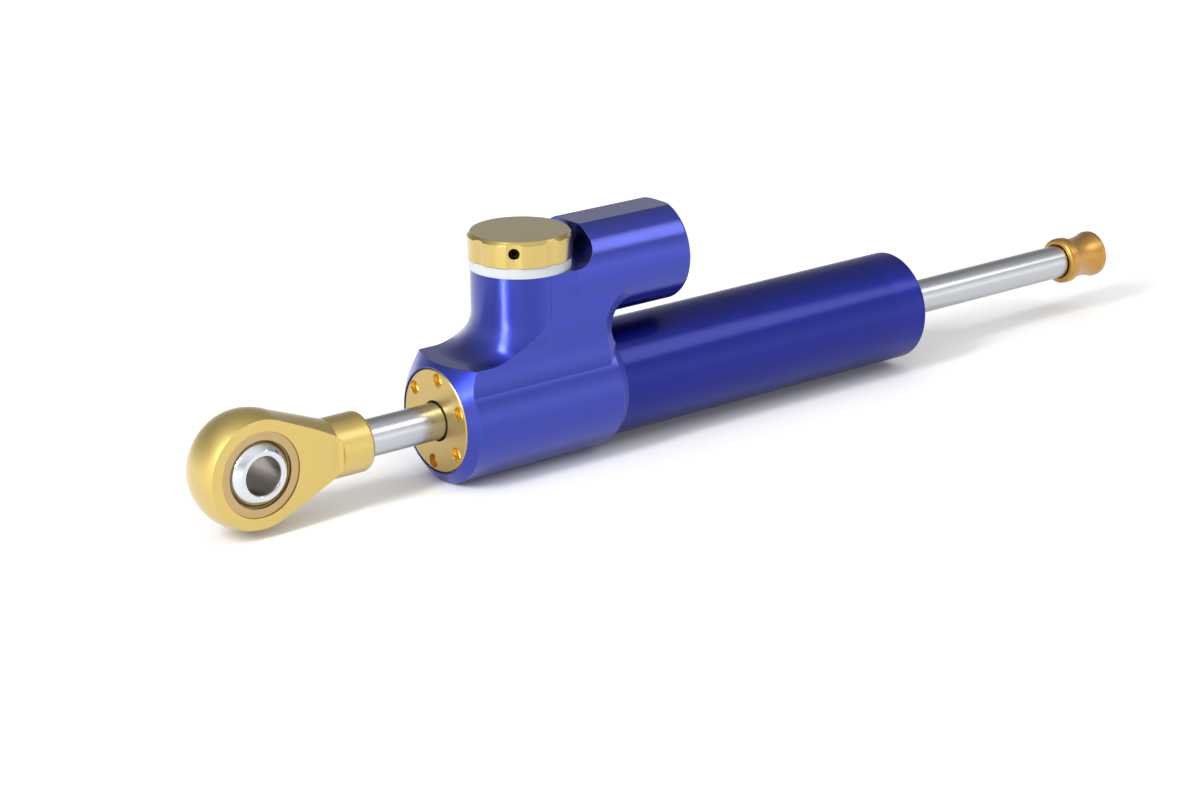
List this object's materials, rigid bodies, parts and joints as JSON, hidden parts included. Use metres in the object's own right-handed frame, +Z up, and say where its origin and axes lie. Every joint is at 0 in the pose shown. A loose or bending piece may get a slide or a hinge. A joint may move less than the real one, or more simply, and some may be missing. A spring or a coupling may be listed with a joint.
{
  "type": "steering damper",
  "caption": "Through-rod hydraulic steering damper with a spherical-bearing rod eye, a plain tube for a clamp, an adjuster knob on a neck and an overhanging oil reservoir.",
  "frame": {"origin": "middle of the plain tube that a clamp grips, on the rod's axis", "axes": "+X along the rod from the rod eye to the end cap, +Z up through the adjuster knob, +Y along the rod eye's bolt"},
  "size_m": [0.2577, 0.0276, 0.0513],
  "materials": {
    "blue_anodised": "satin blue anodising, fine turned lines on the tube",
    "gold_anodised": "satin gold anodising",
    "amber_anodised": "satin orange-gold anodising",
    "chrome": "polished hard chrome",
    "bronze": "machined bronze",
    "brass": "machined",
    "rubber": "matt black",
    "white_plastic": "natural white",
    "steel": "ground",
    "plain_aluminium": "machined"
  },
  "bodies": {
    "barrel": {"head_block": "blue_anodised", "cylinder_tube": "blue_anodised", "tube_o_ring": "rubber", "inner_liner": "plain_aluminium", "front_gland": "gold_anodised", "front_gland_o_ring": "rubber", "front_rod_bush": "bronze", "front_rod_seal": "rubber", "front_rod_wiper": "rubber", "rear_gland": "gold_anodised", "rear_gland_o_ring": "rubber", "rear_rod_bush": "bronze", "rear_rod_seal": "rubber", "rear_rod_wiper": "rubber", "reservoir_plug": "blue_anodised", "reservoir_plug_o_ring": "rubber", "reservoir_circlip": "steel", "compensator_spring": "steel", "valve_cartridge": "steel", "cartridge_o_ring": "rubber", "valve_seat": "brass", "spindle_clip": "steel", "detent_ball": "steel", "detent_spring": "steel", "knob_washer": "white_plastic"},
    "ring": {"piston_ring": "bronze"},
    "rod": {"piston_rod": "chrome", "piston": "plain_aluminium", "front_piston_clip": "steel", "rear_piston_clip": "steel", "rod_eye": "gold_anodised", "bearing_race": "bronze", "rod_end_cap": "amber_anodised"},
    "ball": {"bearing_ball": "chrome"},
    "knob": {"adjuster_knob": "gold_anodised", "knob_grub_screw": "steel", "adjuster_spindle": "steel", "spindle_o_ring": "rubber"},
    "needle": {"metering_needle": "brass"},
    "float": {"floating_piston": "gold_anodised", "floating_piston_o_ring": "rubber"}
  },
  "joints": [
    {"name": "rod_slide", "type": "slide", "parent": "barrel", "child": "ring", "axis": [1, 0, 0], "range_m": [-0.0561, 0.0185]},
    {"name": "rod_spin", "type": "hinge", "parent": "ring", "child": "rod", "pos_m": [0, 0, 0], "axis": [1, 0, 0], "continuous": true},
    {"name": "ball_turn", "type": "hinge", "parent": "rod", "child": "ball", "pos_m": [-0.13175, 0, 0], "axis": [0, 1, 0], "continuous": true},
    {"name": "knob_turn", "type": "hinge", "parent": "barrel", "child": "knob", "pos_m": [-0.0632, 0, 0.0315], "axis": [0, 0, 1], "range_deg": [-180, 180]},
    {"name": "needle_slide", "type": "slide", "parent": "barrel", "child": "needle", "axis": [0, 0, 1], "range_m": [-0.00052, 0.00052]},
    {"name": "compensator_slide", "type": "slide", "parent": "barrel", "child": "float", "axis": [1, 0, 0], "range_m": [-0.003, 0.0015], "stiffness_N_per_m": 800, "deforming": ["compensator_spring"]}
  ],
  "couplings": [
    {"joint": "needle_slide", "follows": "knob_turn", "m_per_rad": 0.00015915}
  ]
}
